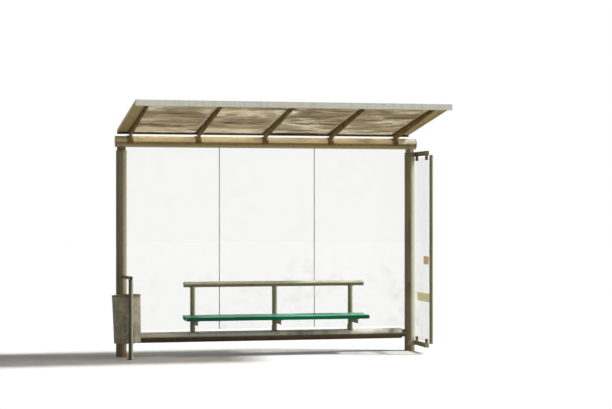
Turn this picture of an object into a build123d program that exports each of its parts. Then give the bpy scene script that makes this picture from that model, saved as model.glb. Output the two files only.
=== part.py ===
"""Street-side bus shelter: a cantilevered glazed roof on two round posts, with a plank bench,
a glass back wall, one glass end screen and a litter bin hung between two posts.

The origin is the middle of the left post's foot. X runs along the shelter, Y to the back
and Z up. All lengths are in millimetres and all angles in degrees.
"""

import os
from math import cos, radians, tan

from build123d import *

# Posts and their feet
post_spacing = 3420
post_diameter = 120
post_wall = 5
post_height = 2335
foot_plate = 10

# Beam along the top of the posts, on necks of crossed plates
beam_diameter = 126
beam_wall = 5
beam_cap = 5
beam_overhang = 70
neck_gap = 47
neck_plate = 8
neck_web = 8
neck_width = 100

# Tube along the foot of the back wall, joined to the posts by crossed plates
tube_diameter = 120
tube_wall = 4
tube_height = 210
joint_gap = 46
joint_plate = 6
joint_web = 8
joint_width = 88

# Roof plane, measured at the underside of the panels over the beam's axis
roof_rise = 113
roof_slope = 8.2
roof_reach = 1610
roof_left_overhang = 45
roof_right_inset = 5

# Roof arms, set out from the two ends of the roof
arm_count = 5
first_arm_inset = 140
last_arm_inset = 187
arm_web = 10
arm_flange_width = 42
arm_flange = 8
arm_tip_depth = 32
arm_root_depth = 78
arm_rear = 20
saddle_width = 70
saddle_plate = 6
saddle_drop = 20

# Roof covering and edging
panel_thickness = 8
panel_gap = 6
panel_nose_gap = 7
panel_rear_lap = 10
cover_width = 50
cover_plate = 4
tray_sheet = 2
fascia_height = 65
fascia_depth = 35
fascia_sheet = 3
fascia_fold = 2
edge_rise = 29
side_lip = 25
side_sheet = 3
rear_rail_height = 21
rear_rail_ledge = 20
rear_rail_sheet = 4

# Back wall panes behind the posts, and their clamps
pane_count = 3
pane_thickness = 8
pane_joint = 10
pane_end_gap = 20
pane_setback = 71
pane_bottom_gap = 22
pane_top_drop = 5
clamp_depth = 26
clamp_grip = 26
head_clamp_width = 60
head_clamp_inset = 200
head_clamp_cover = 12
foot_clamp_width = 30
foot_clamp_drop = 16

# Bench
left_frame_inset = 104
right_frame_inset = 156
upright_diameter = 57
upright_wall = 3
backrest_diameter = 64
backrest_wall = 3
backrest_height = 810
backrest_left = 716
backrest_right = 2848
seat_left_overhang = 16
seat_right_inset = 18
seat_reach = 350
seat_underside = 410
plank_count = 3
plank_width = 98
plank_thickness = 42
plank_gap = 10
plank_edge = 6
rear_plank_angle = 7
bearer_web = 8
bearer_flange_width = 44
bearer_flange = 5
bearer_tip_inset = 5
bearer_depth = 52

# End screen, in a plane just outside the right post
screen_offset = 72
rail_width = 40
rail_height = 50
rail_wall = 3
rail_rear = 50
rail_reach = 460
rail_end_plate = 4
rail_end_border = 2
top_rail_drop = 36
bottom_rail_bottom = 72
wrap_reach = 35
wrap_front = 70
wrap_depth = 50
screen_thickness = 8
screen_rear = 75
screen_reach = 608
screen_bottom_gap = 20
screen_top_gap = 24
clip_length = 30
clip_width = 26
clip_grip = 30
clip_rear = 60
clip_front = 435
edge_tube_diameter = 46
edge_tube_wall = 3
edge_tube_bottom_gap = 6
edge_tube_top_gap = 2
edge_tube_bite = 11

# Litter bin, the slender post in front of it and the channel that ties that post back
bin_line_angle = 7.5
bin_post_distance = 424
bin_post_diameter = 50
bin_post_wall = 3
bin_foot_diameter = 84
bin_foot_plate = 8
channel_bottom = 893
channel_height = 35
channel_width = 24
channel_sheet = 3
cap_plug = 12
cap_lip = 4
bin_top_diameter = 320
bin_bottom_diameter = 300
bin_bottom_height = 175
bin_top_height = 711
bin_wall = 2
bin_bead = 4
bin_lean_angle = 1.6
hanger_height = 620
hanger_diameter = 30
hanger_pad = 5
hanger_pad_size = 70

# Clearance of a piece in the round or slotted face that seats it
seat_clearance = 0.3

# Values that several pieces share
post_radius = post_diameter / 2
beam_radius = beam_diameter / 2
beam_height = post_height + neck_gap + beam_radius
tube_radius = tube_diameter / 2
upright_radius = upright_diameter / 2
backrest_radius = backrest_diameter / 2
post_places = {"left": 0, "right": post_spacing}
roof_height_at_posts = beam_height + roof_rise
roof_left = -roof_left_overhang
roof_right = post_spacing - roof_right_inset
roof_length = roof_right - roof_left
arm_spacing = (roof_length - first_arm_inset - last_arm_inset) / (arm_count - 1)
arm_places = [roof_left + first_arm_inset + i * arm_spacing for i in range(arm_count)]
fascia_rear = fascia_depth - roof_reach
roof_nose = fascia_sheet - roof_reach


def place(builder, name):
    """Label a finished piece and write it to its own file."""
    builder.part.label = name
    export_step(builder.part, f"parts/{name}.step")


def roof_point(y, rise=0):
    """Give the side-view point at depth y that stands rise above the panels' underside."""
    plane_height = roof_height_at_posts - y * tan(radians(roof_slope))
    return (y, plane_height + rise / cos(radians(roof_slope)))


def roof_strip(front, rear, bottom, top):
    """Give the side-view corners of a layer that lies along the roof slope."""
    return [
        roof_point(front, bottom),
        roof_point(rear, bottom),
        roof_point(rear, top),
        roof_point(front, top),
    ]


def side_plane(x):
    """Give the plane that looks along the shelter at x, with Y and Z as its axes."""
    return Plane.YZ.offset(x)


os.makedirs("parts", exist_ok=True)

# Posts: round tubes with a closed foot, their open tops covered by the necks
for side, x in post_places.items():
    with BuildPart() as post:
        with BuildSketch():
            with Locations((x, 0)):
                Circle(post_radius)
        extrude(amount=post_height)
        with BuildSketch(Plane.XY.offset(foot_plate)):
            with Locations((x, 0)):
                Circle(post_radius - post_wall)
        extrude(amount=post_height - foot_plate, mode=Mode.SUBTRACT)
    place(post, f"{side}_post")

# Necks: a cap plate on each post and two crossed plates, cut to cradle the beam
for side, x in post_places.items():
    with BuildPart() as neck:
        with BuildSketch(Plane.XY.offset(post_height)):
            with Locations((x, 0)):
                Circle(post_radius)
        extrude(amount=neck_plate)
        with BuildSketch(Plane.XY.offset(post_height)):
            with Locations((x, 0)):
                Rectangle(neck_width, neck_web)
                Rectangle(neck_web, neck_width)
        extrude(amount=neck_gap + beam_radius)
        with BuildSketch(side_plane(x - post_radius)):
            with Locations((0, beam_height)):
                Circle(beam_radius + seat_clearance)
        extrude(amount=post_diameter, mode=Mode.SUBTRACT)
    place(neck, f"{side}_neck")

# Beam: a round tube closed by welded caps
with BuildPart() as top_beam:
    with BuildSketch(side_plane(-beam_overhang)):
        with Locations((0, beam_height)):
            Circle(beam_radius)
    extrude(amount=post_spacing + 2 * beam_overhang)
    with BuildSketch(side_plane(beam_cap - beam_overhang)):
        with Locations((0, beam_height)):
            Circle(beam_radius - beam_wall)
    extrude(amount=post_spacing + 2 * (beam_overhang - beam_cap), mode=Mode.SUBTRACT)
place(top_beam, "top_beam")

# Bottom tube, open at the ends, which the joints close
tube_left = post_radius + joint_gap + joint_plate
tube_length = post_spacing - 2 * tube_left
with BuildPart() as bottom_tube:
    with BuildSketch(side_plane(tube_left)):
        with Locations((0, tube_height)):
            Circle(tube_radius)
            Circle(tube_radius - tube_wall, mode=Mode.SUBTRACT)
    extrude(amount=tube_length)
place(bottom_tube, "bottom_tube")

# Tube joints: an end plate and two crossed plates, cut to fit round the post
for side, x, outward in (("left", 0, 1), ("right", post_spacing, -1)):
    with BuildPart() as joint:
        with BuildSketch(side_plane(x + outward * tube_left)):
            with Locations((0, tube_height)):
                Circle(tube_radius)
        extrude(amount=-outward * joint_plate)
        with BuildSketch(side_plane(x + outward * tube_left)):
            with Locations((0, tube_height)):
                Rectangle(joint_width, joint_web)
                Rectangle(joint_web, joint_width)
        extrude(amount=-outward * tube_left)
        with BuildSketch(Plane.XY.offset(tube_height - tube_radius)):
            with Locations((x, 0)):
                Circle(post_radius + seat_clearance)
        extrude(amount=tube_diameter, mode=Mode.SUBTRACT)
    place(joint, f"{side}_tube_joint")

# Roof arms: a tapered web under a sloping flange, with a saddle that grips the beam's front
lip_top = roof_point(-roof_reach, edge_rise)[1] - fascia_height + fascia_sheet
saddle_radius = beam_radius + seat_clearance + saddle_plate
notch = fascia_rear + seat_clearance
arm_outline = [
    roof_point(arm_rear, -arm_flange),
    roof_point(roof_nose, -arm_flange),
    (roof_nose, lip_top),
    (notch, lip_top),
    roof_point(notch, -arm_tip_depth),
    roof_point(-saddle_radius, -arm_root_depth),
    (-saddle_radius, beam_height),
    (arm_rear, beam_height),
]
for number, x in enumerate(arm_places, start=1):
    with BuildPart() as arm:
        with BuildSketch(side_plane(x - arm_web / 2)):
            with BuildLine():
                Polyline(*arm_outline, close=True)
            make_face()
        extrude(amount=arm_web)
        with BuildSketch(side_plane(x - arm_flange_width / 2)):
            with BuildLine():
                Polyline(*roof_strip(roof_nose, arm_rear, -arm_flange, 0), close=True)
            make_face()
        extrude(amount=arm_flange_width)
        with BuildSketch(side_plane(x - saddle_width / 2)):
            with Locations((0, beam_height)):
                Circle(saddle_radius)
            with Locations((arm_rear, beam_height - saddle_drop)):
                Rectangle(
                    arm_rear + saddle_radius,
                    saddle_drop + saddle_radius,
                    align=(Align.MAX, Align.MIN),
                    mode=Mode.INTERSECT,
                )
        extrude(amount=saddle_width)
        with BuildSketch(side_plane(x - saddle_width / 2)):
            with Locations((0, beam_height)):
                Circle(beam_radius + seat_clearance)
        extrude(amount=saddle_width, mode=Mode.SUBTRACT)
    place(arm, f"roof_arm_{number}")

# Front fascia: a folded tray with closed ends, open to the rear
with BuildPart() as front_fascia:
    with BuildSketch(side_plane(roof_left)):
        with Locations((-roof_reach, lip_top - fascia_sheet)):
            Rectangle(fascia_depth, fascia_height, align=(Align.MIN, Align.MIN))
    extrude(amount=roof_length)
    front_face = front_fascia.faces().sort_by(Axis.Y).first
    fillet(front_face.edges().filter_by(Axis.X), radius=fascia_fold)
    with BuildSketch(side_plane(roof_left + fascia_sheet)):
        with Locations((roof_nose, lip_top)):
            Rectangle(
                fascia_depth,
                fascia_height - 2 * fascia_sheet,
                align=(Align.MIN, Align.MIN),
            )
    extrude(amount=roof_length - 2 * fascia_sheet, mode=Mode.SUBTRACT)
place(front_fascia, "front_fascia")

# Side profiles: channels open towards the roof, butted between the fascia and the rear rail
for side, outer, inward in (("left", roof_left, 1), ("right", roof_right, -1)):
    with BuildPart() as side_profile:
        with BuildSketch(side_plane(outer)):
            with BuildLine():
                Polyline(
                    *roof_strip(fascia_rear, arm_rear, -side_sheet, edge_rise),
                    close=True,
                )
            make_face()
        extrude(amount=inward * side_lip)
        with BuildSketch(side_plane(outer + inward * side_sheet)):
            with BuildLine():
                Polyline(
                    *roof_strip(fascia_rear, arm_rear, 0, edge_rise - side_sheet),
                    close=True,
                )
            make_face()
        extrude(amount=inward * side_lip, mode=Mode.SUBTRACT)
    place(side_profile, f"{side}_side_profile")

# Edge trays: folded sheet strips between the end arms and the side profiles
sheet_rear = arm_rear + panel_rear_lap
sheet_front = roof_nose + panel_nose_gap
for side, outer, inward, arm_inset in (
    ("left", roof_left, 1, first_arm_inset),
    ("right", roof_right, -1, last_arm_inset),
):
    tray_outer = outer + inward * (side_sheet + seat_clearance)
    tray_width = arm_inset - panel_gap / 2 - side_sheet - seat_clearance
    with BuildPart() as edge_tray:
        with BuildSketch(side_plane(tray_outer)):
            with BuildLine():
                Polyline(*roof_strip(sheet_front, sheet_rear, 0, panel_thickness), close=True)
            make_face()
        extrude(amount=inward * tray_width)
        with BuildSketch(side_plane(tray_outer + inward * tray_sheet)):
            with BuildLine():
                Polyline(
                    *roof_strip(sheet_front, sheet_rear, tray_sheet, panel_thickness),
                    close=True,
                )
            make_face()
        extrude(amount=inward * (tray_width - 2 * tray_sheet), mode=Mode.SUBTRACT)
    place(edge_tray, f"{side}_edge_tray")

# Roof panels: flat translucent sheets that lie on the flanges of neighbouring arms
for number, x in enumerate(arm_places[:-1], start=1):
    with BuildPart() as roof_panel:
        with BuildSketch(side_plane(x + panel_gap / 2)):
            with BuildLine():
                Polyline(*roof_strip(sheet_front, sheet_rear, 0, panel_thickness), close=True)
            make_face()
        extrude(amount=arm_spacing - panel_gap)
    place(roof_panel, f"roof_panel_{number}")

# Cover strips: flat bars that clamp the sheet edges down along every arm
with BuildPart() as cover_strips:
    for x in arm_places:
        with BuildSketch(side_plane(x - cover_width / 2)):
            with BuildLine():
                Polyline(
                    *roof_strip(
                        sheet_front,
                        sheet_rear,
                        panel_thickness,
                        panel_thickness + cover_plate,
                    ),
                    close=True,
                )
            make_face()
        extrude(amount=cover_width)
place(cover_strips, "cover_strips")

# Rear rail: an angle on the arms' rear ends, with a ledge that throws rain clear of the beam
with BuildPart() as rear_rail:
    with BuildSketch(side_plane(roof_left)):
        with BuildLine():
            Polyline(
                *roof_strip(arm_rear, arm_rear + rear_rail_sheet, -rear_rail_height, 0),
                close=True,
            )
        make_face()
        with BuildLine():
            Polyline(
                *roof_strip(
                    arm_rear,
                    arm_rear + rear_rail_ledge,
                    -rear_rail_height,
                    rear_rail_sheet - rear_rail_height,
                ),
                close=True,
            )
        make_face()
    extrude(amount=roof_length)
place(rear_rail, "rear_rail")

# Back wall panes
pane_bottom = tube_height + tube_radius + pane_bottom_gap
pane_top = beam_height - pane_top_drop
pane_width = (post_spacing - 2 * pane_end_gap - (pane_count - 1) * pane_joint) / pane_count
pane_places = [
    pane_end_gap + pane_width / 2 + i * (pane_width + pane_joint) for i in range(pane_count)
]
for number, x in enumerate(pane_places, start=1):
    with BuildPart() as back_pane:
        with BuildSketch(Plane.XY.offset(pane_bottom)):
            with Locations((x, pane_setback)):
                Rectangle(pane_width, pane_thickness)
        extrude(amount=pane_top - pane_bottom)
    place(back_pane, f"back_pane_{number}")

# Pane clamps: slotted blocks, two on the back of the beam for each pane and one on the back of
# the bottom tube, right behind a seat frame
seat_frame_places = [
    backrest_left + left_frame_inset,
    (backrest_left + backrest_right) / 2,
    backrest_right - right_frame_inset,
]
head_clamp_places = [
    x + shift
    for x in pane_places
    for shift in (head_clamp_inset - pane_width / 2, pane_width / 2 - head_clamp_inset)
]
pane_slot = pane_thickness + 2 * seat_clearance
foot_clamp_bottom = tube_height - foot_clamp_drop
foot_clamp_height = pane_bottom + clamp_grip - foot_clamp_bottom
with BuildPart() as pane_clamps:
    for x in head_clamp_places:
        with BuildSketch(side_plane(x - head_clamp_width / 2)):
            with Locations((pane_setback, pane_top - clamp_grip)):
                Rectangle(
                    clamp_depth,
                    clamp_grip + head_clamp_cover,
                    align=(Align.CENTER, Align.MIN),
                )
            with Locations((0, beam_height)):
                Circle(beam_radius + seat_clearance, mode=Mode.SUBTRACT)
            with Locations((pane_setback, pane_top)):
                Rectangle(
                    pane_slot, clamp_grip, align=(Align.CENTER, Align.MAX), mode=Mode.SUBTRACT
                )
        extrude(amount=head_clamp_width)
    for x in seat_frame_places:
        with BuildSketch(side_plane(x - foot_clamp_width / 2)):
            with Locations((pane_setback, foot_clamp_bottom)):
                Rectangle(clamp_depth, foot_clamp_height, align=(Align.CENTER, Align.MIN))
            with Locations((0, tube_height)):
                Circle(tube_radius + seat_clearance, mode=Mode.SUBTRACT)
            with Locations((pane_setback, pane_bottom)):
                Rectangle(
                    pane_slot, clamp_grip, align=(Align.CENTER, Align.MIN), mode=Mode.SUBTRACT
                )
        extrude(amount=foot_clamp_width)
place(pane_clamps, "pane_clamps")

# Seat frames: an upright coped over the bottom tube and under the backrest, with a flanged
# bearer welded to its front
plank_pitch = plank_width + plank_gap
rear_plank_front = (plank_count - 1) * plank_pitch - seat_reach
bearer_tip = bearer_tip_inset - seat_reach
seat_left = backrest_left - seat_left_overhang
seat_right = backrest_right - seat_right_inset
bearer_kick = -rear_plank_front * tan(radians(rear_plank_angle))
bearer_top = [
    (bearer_tip, seat_underside),
    (rear_plank_front, seat_underside),
    (0, seat_underside + bearer_kick),
]
for number, x in enumerate(seat_frame_places, start=1):
    with BuildPart() as seat_frame:
        with BuildSketch(Plane.XY.offset(tube_height)):
            with Locations((x, 0)):
                Circle(upright_radius)
        extrude(amount=backrest_height - tube_height)
        with BuildSketch(side_plane(x - bearer_web / 2)):
            with BuildLine():
                Polyline(
                    *bearer_top,
                    (0, seat_underside - bearer_depth),
                    (bearer_tip, seat_underside - bearer_depth),
                    close=True,
                )
            make_face()
        extrude(amount=bearer_web)
        with BuildSketch(side_plane(x - bearer_flange_width / 2)):
            with BuildLine():
                Polyline(
                    *bearer_top,
                    *[(y, z - bearer_flange) for y, z in reversed(bearer_top)],
                    close=True,
                )
            make_face()
        extrude(amount=bearer_flange_width)
        with BuildSketch(Plane.XY.offset(tube_height)):
            with Locations((x, 0)):
                Circle(upright_radius - upright_wall)
        extrude(amount=backrest_height - tube_height, mode=Mode.SUBTRACT)
        with BuildSketch(side_plane(x - upright_radius)):
            with Locations((0, tube_height)):
                Circle(tube_radius + seat_clearance)
            with Locations((0, backrest_height)):
                Circle(backrest_radius + seat_clearance)
        extrude(amount=upright_diameter, mode=Mode.SUBTRACT)
    place(seat_frame, f"seat_frame_{number}")

# Backrest: a round tube with closed ends
with BuildPart() as backrest_rail:
    with BuildSketch(side_plane(backrest_left)):
        with Locations((0, backrest_height)):
            Circle(backrest_radius)
    extrude(amount=backrest_right - backrest_left)
    with BuildSketch(side_plane(backrest_left + backrest_wall)):
        with Locations((0, backrest_height)):
            Circle(backrest_radius - backrest_wall)
    extrude(
        amount=backrest_right - backrest_left - 2 * backrest_wall,
        mode=Mode.SUBTRACT,
    )
place(backrest_rail, "backrest_rail")

# Seat planks: rounded boards on the bearers, the rear one tipped up towards the back
for number in range(1, plank_count + 1):
    plank_front = (number - 1) * plank_pitch - seat_reach
    tilt = rear_plank_angle if number == plank_count else 0
    with BuildPart() as seat_plank:
        with BuildSketch(side_plane(seat_left)) as plank_section:
            with Locations(Location((plank_front, seat_underside, 0), (0, 0, tilt))):
                Rectangle(plank_width, plank_thickness, align=(Align.MIN, Align.MIN))
            fillet(plank_section.vertices(), radius=plank_edge)
        extrude(amount=seat_right - seat_left)
    place(seat_plank, f"seat_plank_{number}")

# End screen rails: closed box sections coped to the right post's side, each with a block that
# wraps round the post's front
screen_x = post_spacing + screen_offset
rail_length = rail_rear + rail_reach
wrap_length = wrap_reach + screen_offset - rail_width / 2
top_rail_bottom = post_height - top_rail_drop
for name, bottom in (("top", top_rail_bottom), ("bottom", bottom_rail_bottom)):
    rail_middle = bottom + rail_height / 2
    with BuildPart() as screen_rail:
        with BuildSketch(Plane.XZ.offset(-rail_rear)):
            with Locations((screen_x, rail_middle)):
                Rectangle(rail_width, rail_height)
        extrude(amount=rail_length)
        with BuildSketch(Plane.XZ.offset(rail_end_plate - rail_rear)):
            with Locations((screen_x, rail_middle)):
                Rectangle(rail_width - 2 * rail_wall, rail_height - 2 * rail_wall)
        extrude(amount=rail_length - 2 * rail_end_plate, mode=Mode.SUBTRACT)
        with BuildSketch(Plane.XZ.offset(rail_reach - rail_end_plate)):
            with Locations((screen_x, rail_middle)):
                Rectangle(rail_width + 2 * rail_end_border, rail_height + 2 * rail_end_border)
        extrude(amount=rail_end_plate)
        with BuildSketch(Plane.XY.offset(bottom)):
            with Locations((post_spacing - wrap_reach, -wrap_front)):
                Rectangle(wrap_length, wrap_depth, align=(Align.MIN, Align.MIN))
        extrude(amount=rail_height)
        with BuildSketch(Plane.XY.offset(bottom)):
            with Locations((post_spacing, 0)):
                Circle(post_radius + seat_clearance)
        extrude(amount=rail_height, mode=Mode.SUBTRACT)
    place(screen_rail, f"screen_{name}_rail")

# End screen glass, hung between the rails and reaching past both of their ends
bottom_rail_top = bottom_rail_bottom + rail_height
screen_bottom = bottom_rail_top + screen_bottom_gap
screen_top = top_rail_bottom - screen_top_gap
with BuildPart() as screen_pane:
    with BuildSketch(Plane.XZ.offset(-screen_rear)):
        with Locations((screen_x, (screen_bottom + screen_top) / 2)):
            Rectangle(screen_thickness, screen_top - screen_bottom)
    extrude(amount=screen_rear + screen_reach)
place(screen_pane, "screen_pane")

# Screen clips: slotted blocks between the rails and the glass
screen_slot = screen_thickness + 2 * seat_clearance
top_clip_bottom = screen_top - clip_grip
with BuildPart() as screen_clips:
    for y in (clip_rear, clip_front):
        with BuildSketch(Plane.XZ.offset(y - clip_length / 2)):
            with Locations((screen_x, top_clip_bottom)):
                Rectangle(
                    clip_width, top_rail_bottom - top_clip_bottom, align=(Align.CENTER, Align.MIN)
                )
                Rectangle(
                    screen_slot, clip_grip, align=(Align.CENTER, Align.MIN), mode=Mode.SUBTRACT
                )
            with Locations((screen_x, bottom_rail_top)):
                Rectangle(
                    clip_width,
                    screen_bottom + clip_grip - bottom_rail_top,
                    align=(Align.CENTER, Align.MIN),
                )
            with Locations((screen_x, screen_bottom)):
                Rectangle(
                    screen_slot, clip_grip, align=(Align.CENTER, Align.MIN), mode=Mode.SUBTRACT
                )
        extrude(amount=clip_length)
place(screen_clips, "screen_clips")

# Edge tube: a capped tube slotted from below, pushed over the free edge of the screen's glass
edge_tube_radius = edge_tube_diameter / 2
edge_tube_place = screen_reach - edge_tube_bite + edge_tube_radius
edge_tube_bottom = bottom_rail_top + edge_tube_bottom_gap
edge_tube_top = top_rail_bottom - edge_tube_top_gap
with BuildPart() as edge_tube:
    with BuildSketch(Plane.XY.offset(edge_tube_bottom)):
        with Locations((screen_x, -edge_tube_place)):
            Circle(edge_tube_radius)
    extrude(amount=edge_tube_top - edge_tube_bottom)
    with BuildSketch(Plane.XY.offset(edge_tube_bottom)):
        with Locations((screen_x, -edge_tube_place)):
            Circle(edge_tube_radius - edge_tube_wall)
    extrude(amount=edge_tube_top - edge_tube_bottom - edge_tube_wall, mode=Mode.SUBTRACT)
    with BuildSketch(Plane.XY.offset(edge_tube_bottom)):
        with Locations((screen_x, -edge_tube_place)):
            Rectangle(screen_slot, edge_tube_diameter, align=(Align.CENTER, Align.MIN))
    extrude(amount=screen_top + seat_clearance - edge_tube_bottom, mode=Mode.SUBTRACT)
place(edge_tube, "screen_edge_tube")

# The bin's line runs from the left post to the bin's own post: this plane has that line as
# its -Y axis, and the one made from it looks forward along the line
line_place = Location((0, 0, 0), (0, 0, bin_line_angle))
line_plane = Plane(line_place)
line_front = Plane(origin=(0, 0, 0), x_dir=line_plane.x_dir, z_dir=-line_plane.y_dir)
bin_post_radius = bin_post_diameter / 2
bin_distance = (post_radius + bin_post_distance - bin_post_radius) / 2

# Bin post: a slender tube with a foot flange
with BuildPart() as bin_post:
    with BuildSketch(line_plane):
        with Locations((0, -bin_post_distance)):
            Circle(bin_foot_diameter / 2)
    extrude(amount=bin_foot_plate)
    with BuildSketch(line_plane):
        with Locations((0, -bin_post_distance)):
            Circle(bin_post_radius)
    extrude(amount=channel_bottom)
    with BuildSketch(line_plane.offset(bin_foot_plate)):
        with Locations((0, -bin_post_distance)):
            Circle(bin_post_radius - bin_post_wall)
    extrude(amount=channel_bottom - bin_foot_plate - bin_post_wall, mode=Mode.SUBTRACT)
place(bin_post, "bin_post")

# Tie channel: from the left post to the top of the bin post, open to the left
channel_reach = bin_post_distance + bin_post_radius
channel_middle = channel_bottom + channel_height / 2
channel_gap = channel_height - 2 * channel_sheet
with BuildPart() as bin_tie_channel:
    with BuildSketch(line_front):
        with Locations((0, channel_middle)):
            Rectangle(channel_width, channel_height)
        with Locations((-channel_sheet, channel_middle)):
            Rectangle(channel_width, channel_gap, mode=Mode.SUBTRACT)
    extrude(amount=channel_reach)
    with BuildSketch(Plane.XY.offset(channel_bottom)):
        Circle(post_radius + seat_clearance)
    extrude(amount=channel_height, mode=Mode.SUBTRACT)
place(bin_tie_channel, "bin_tie_channel")

# Channel cap: a plastic plug in the channel's free end
with BuildPart() as channel_cap_plug:
    with BuildSketch(line_front.offset(channel_reach)) as cap_face:
        with Locations((0, channel_middle)):
            Rectangle(channel_width, channel_height)
        fillet(cap_face.vertices(), radius=channel_sheet)
    extrude(amount=cap_lip)
    with BuildSketch(line_front.offset(channel_reach)):
        with Locations((-channel_sheet / 2, channel_middle)):
            Rectangle(
                channel_width - channel_sheet - 2 * seat_clearance,
                channel_gap - 2 * seat_clearance,
            )
    extrude(amount=-cap_plug)
place(channel_cap_plug, "channel_cap")

# Bin: a tapered sheet-metal cup with a rolled rim and two flat pads, leaning on its hangers
bin_place = line_place * Location((0, -bin_distance, hanger_height), (0, -bin_lean_angle, 0))
bin_frame = Plane(bin_place)
bin_front = Plane(origin=bin_frame.origin, x_dir=bin_frame.x_dir, z_dir=-bin_frame.y_dir)
bin_axis = Axis(bin_frame.origin, bin_frame.z_dir)
bin_rim = bin_top_height - hanger_height
bin_floor = bin_bottom_height - hanger_height
bin_top_radius = bin_top_diameter / 2
bin_bottom_radius = bin_bottom_diameter / 2
bin_taper = (bin_top_radius - bin_bottom_radius) / (bin_rim - bin_floor)
pad_face = bin_top_radius - bin_taper * bin_rim + hanger_pad
bead_fold = bin_bead / 2
with BuildPart() as bin_body:
    with BuildSketch(bin_front):
        with BuildLine():
            Polyline(
                (0, bin_floor),
                (bin_bottom_radius, bin_floor),
                (bin_top_radius - 2 * bin_taper * bin_bead, bin_rim - 2 * bin_bead),
                (bin_top_radius + bin_bead, bin_rim - bin_bead - bead_fold),
                (bin_top_radius + bin_bead, bin_rim - bead_fold),
                (bin_top_radius + bead_fold, bin_rim),
                (0, bin_rim),
                close=True,
            )
        make_face()
    revolve(axis=bin_axis)
    with BuildSketch(bin_front):
        RectangleRounded(hanger_pad_size, hanger_pad_size, hanger_pad)
    extrude(amount=pad_face, both=True)
    with BuildSketch(bin_front):
        with BuildLine():
            Polyline(
                (0, bin_floor + bin_wall),
                (bin_bottom_radius - bin_wall, bin_floor + bin_wall),
                (bin_top_radius - bin_wall, bin_rim),
                (0, bin_rim),
                close=True,
            )
        make_face()
    revolve(axis=bin_axis, mode=Mode.SUBTRACT)
place(bin_body, "bin_body")

# Hangers: round studs from the bin's pads to the two posts, coped to fit round them
with BuildPart() as bin_hangers:
    with BuildSketch(bin_front.offset(pad_face)):
        Circle(hanger_diameter / 2)
    extrude(amount=bin_post_distance - bin_distance - pad_face)
    with BuildSketch(bin_front.offset(-pad_face)):
        Circle(hanger_diameter / 2)
    extrude(amount=pad_face - bin_distance)
    with BuildSketch(line_plane.offset(hanger_height - hanger_diameter)):
        Circle(post_radius + seat_clearance)
        with Locations((0, -bin_post_distance)):
            Circle(bin_post_radius + seat_clearance)
    extrude(amount=2 * hanger_diameter, mode=Mode.SUBTRACT)
place(bin_hangers, "bin_hangers")
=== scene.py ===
"""Visual model of the bus shelter: a finish for every CAD node and the small fittings on them.

Lengths are in metres, in the CAD frame: X runs along the shelter, Y to the back and Z up.
"""

import logging
import math
from dataclasses import dataclass
from enum import Enum
from functools import partial
from random import Random
from typing import Callable

import bpy
from mathutils import Matrix, Vector


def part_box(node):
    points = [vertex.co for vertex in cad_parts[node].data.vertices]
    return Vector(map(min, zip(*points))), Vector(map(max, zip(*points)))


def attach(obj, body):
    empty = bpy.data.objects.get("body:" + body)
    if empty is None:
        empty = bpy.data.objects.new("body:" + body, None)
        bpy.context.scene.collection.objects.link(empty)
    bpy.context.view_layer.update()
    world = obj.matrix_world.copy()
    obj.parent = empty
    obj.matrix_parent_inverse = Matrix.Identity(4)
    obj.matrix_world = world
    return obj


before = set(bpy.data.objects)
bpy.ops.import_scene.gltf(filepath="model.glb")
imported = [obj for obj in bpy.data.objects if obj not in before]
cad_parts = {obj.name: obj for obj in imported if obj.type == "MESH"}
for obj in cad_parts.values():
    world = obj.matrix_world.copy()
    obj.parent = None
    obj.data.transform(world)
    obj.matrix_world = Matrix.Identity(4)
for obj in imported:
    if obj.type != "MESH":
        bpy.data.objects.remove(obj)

log = logging.getLogger("bus_shelter")

Colour = tuple[float, float, float]
Socket = bpy.types.NodeSocket
Value = Socket | float
Span = tuple[float, float]
Material = bpy.types.Material
Piece = bpy.types.Object

SQUARE = 0.9  # an axis's share in a normal, above which a face counts as square to that axis
SHARP_EDGE = 35  # angle in degrees up to which a fitting's edges are smoothed
SOFT_EDGE = 60  # the same for weld beads and leaves
UP = Vector((0, 0, 1))
ALONG = Vector((1, 0, 0))


def middle(node: str) -> Vector:
    """Give the middle of a CAD node's box."""
    low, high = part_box(node)
    return (low + high) / 2


def numbered(stem: str, count: int) -> list[str]:
    """Give the names of a row of CAD nodes, numbered from 1."""
    return [f"{stem}_{n}" for n in range(1, count + 1)]


ARMS = numbered("roof_arm", 5)
SHEETS = numbered("roof_panel", 4)
PANES = numbered("back_pane", 3)
SEAT_FRAMES = numbered("seat_frame", 3)
BOARDS = numbered("seat_plank", 3)


def screen(red: int, green: int, blue: int) -> Colour:
    """Turn a colour's screen values, 0 to 255, into the linear ones that a socket takes."""
    shares = (value / 255 for value in (red, green, blue))
    return tuple(s / 12.92 if s <= 0.04045 else ((s + 0.055) / 1.055) ** 2.4 for s in shares)


class Slot(Enum):
    """The record's material slots, passed along with each set of fasteners; nothing reads them."""

    FRAME = "frame_paint"
    FASCIA = "fascia_paint"
    CLAMP = "clamp_paint"
    BIN = "bin_paint"
    SHEET = "bronze_sheet"
    GLASS = "clear_glass"
    WOOD = "green_wood"


class Head(Enum):
    """Shapes of a screw's head, each with its number of sides."""

    HEX = 6
    DOME = 14


class Part(Enum):
    """A mesh's lists of parts, each with its mode of selection."""

    VERTICES = "VERT"
    EDGES = "EDGE"
    POLYGONS = "FACE"


class Grain(Enum):
    """Ways that a pattern runs, as its fineness along X, Y and Z."""

    EVEN = (1.0, 1.0, 1.0)
    DOWN = (1.0, 1.0, 0.06)
    ALONG = (0.05, 1.0, 1.0)
    BANDS = (0.5, 1.0, 1.0)
    LINES = (0.14, 1.0, 1.0)


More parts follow.
